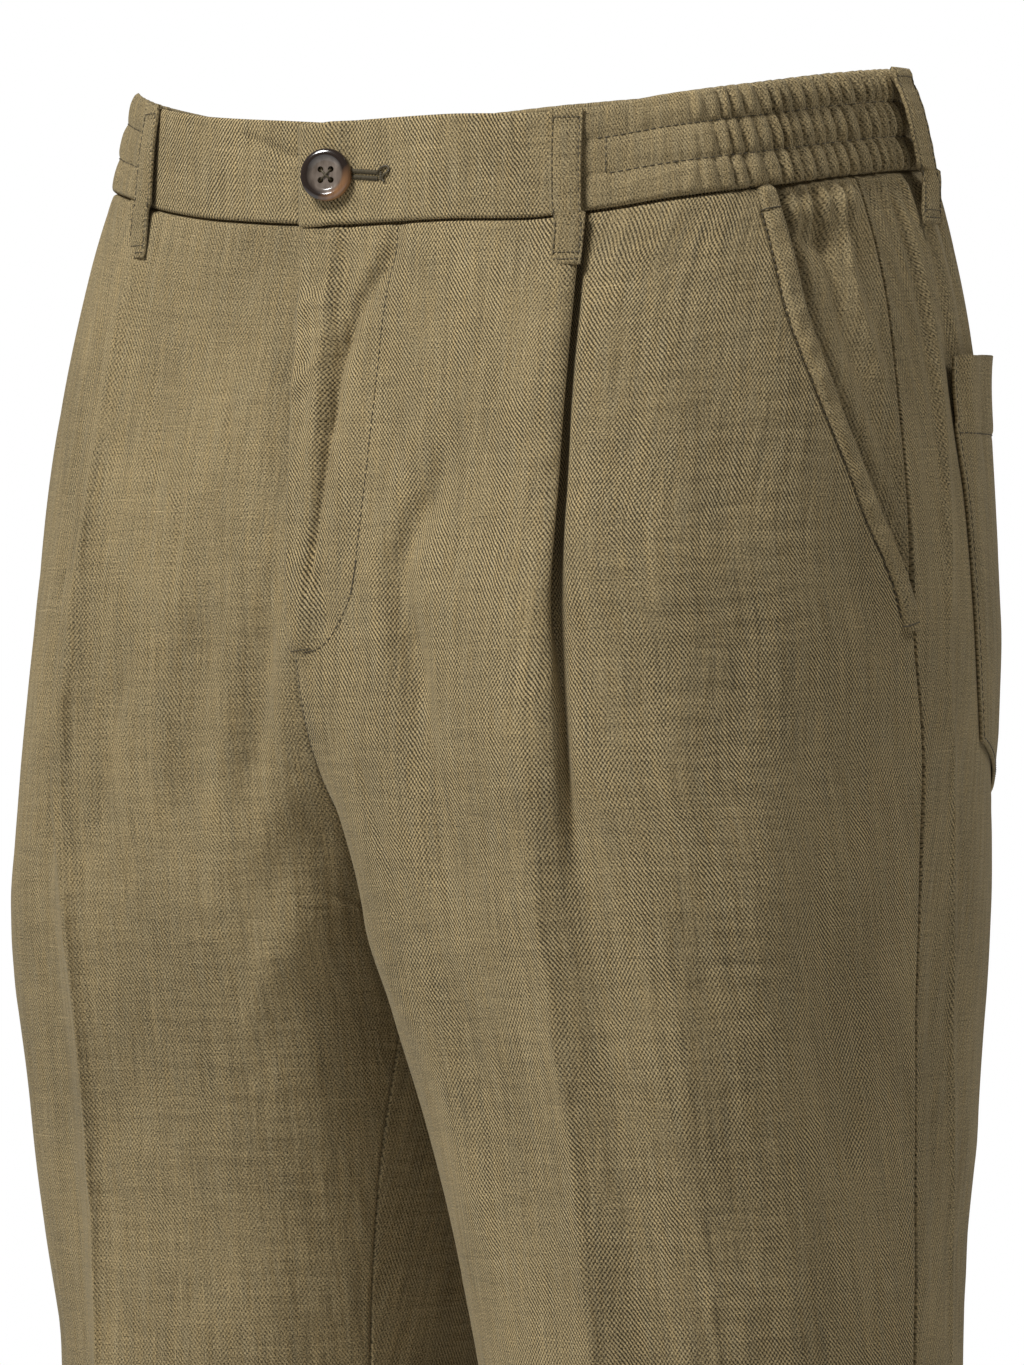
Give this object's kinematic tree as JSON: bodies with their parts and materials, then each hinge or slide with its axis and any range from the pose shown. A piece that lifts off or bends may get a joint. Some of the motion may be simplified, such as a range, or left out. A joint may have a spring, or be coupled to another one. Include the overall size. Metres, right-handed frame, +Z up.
{
  "type": "pleated linen trousers",
  "caption": "Worn, hollow pair of pleated linen trousers with a buttoned fly front, slanted side pockets, patch back pockets, belt loops and a gathered elastic waistband at the sides and back.",
  "frame": {"origin": "middle of the waist, level with the mean height of the seam under the waistband", "axes": "+Z up, -Y to the front of the garment, +X to the wearer's left"},
  "size_m": [0.3882, 0.288, 1.0555],
  "materials": {
    "linen": "matte woven linen, olive khaki",
    "horn": "satin dark horn with tan marbling"
  },
  "bodies": {
    "root": {"front_left": "linen", "front_right": "linen", "back_left": "linen", "back_right": "linen", "waistband_front_left": "linen", "waistband_front_right": "linen", "waistband_elastic_left": "linen", "waistband_elastic_right": "linen", "pocket_facing_left": "linen", "pocket_facing_right": "linen", "pocket_welt_left": "linen", "pocket_welt_right": "linen", "back_pocket_left": "linen", "back_pocket_right": "linen", "belt_loop_front_left": "linen", "belt_loop_front_right": "linen", "belt_loop_side_left": "linen", "belt_loop_side_right": "linen", "belt_loop_back": "linen", "button": "horn"}
  },
  "joints": []
}
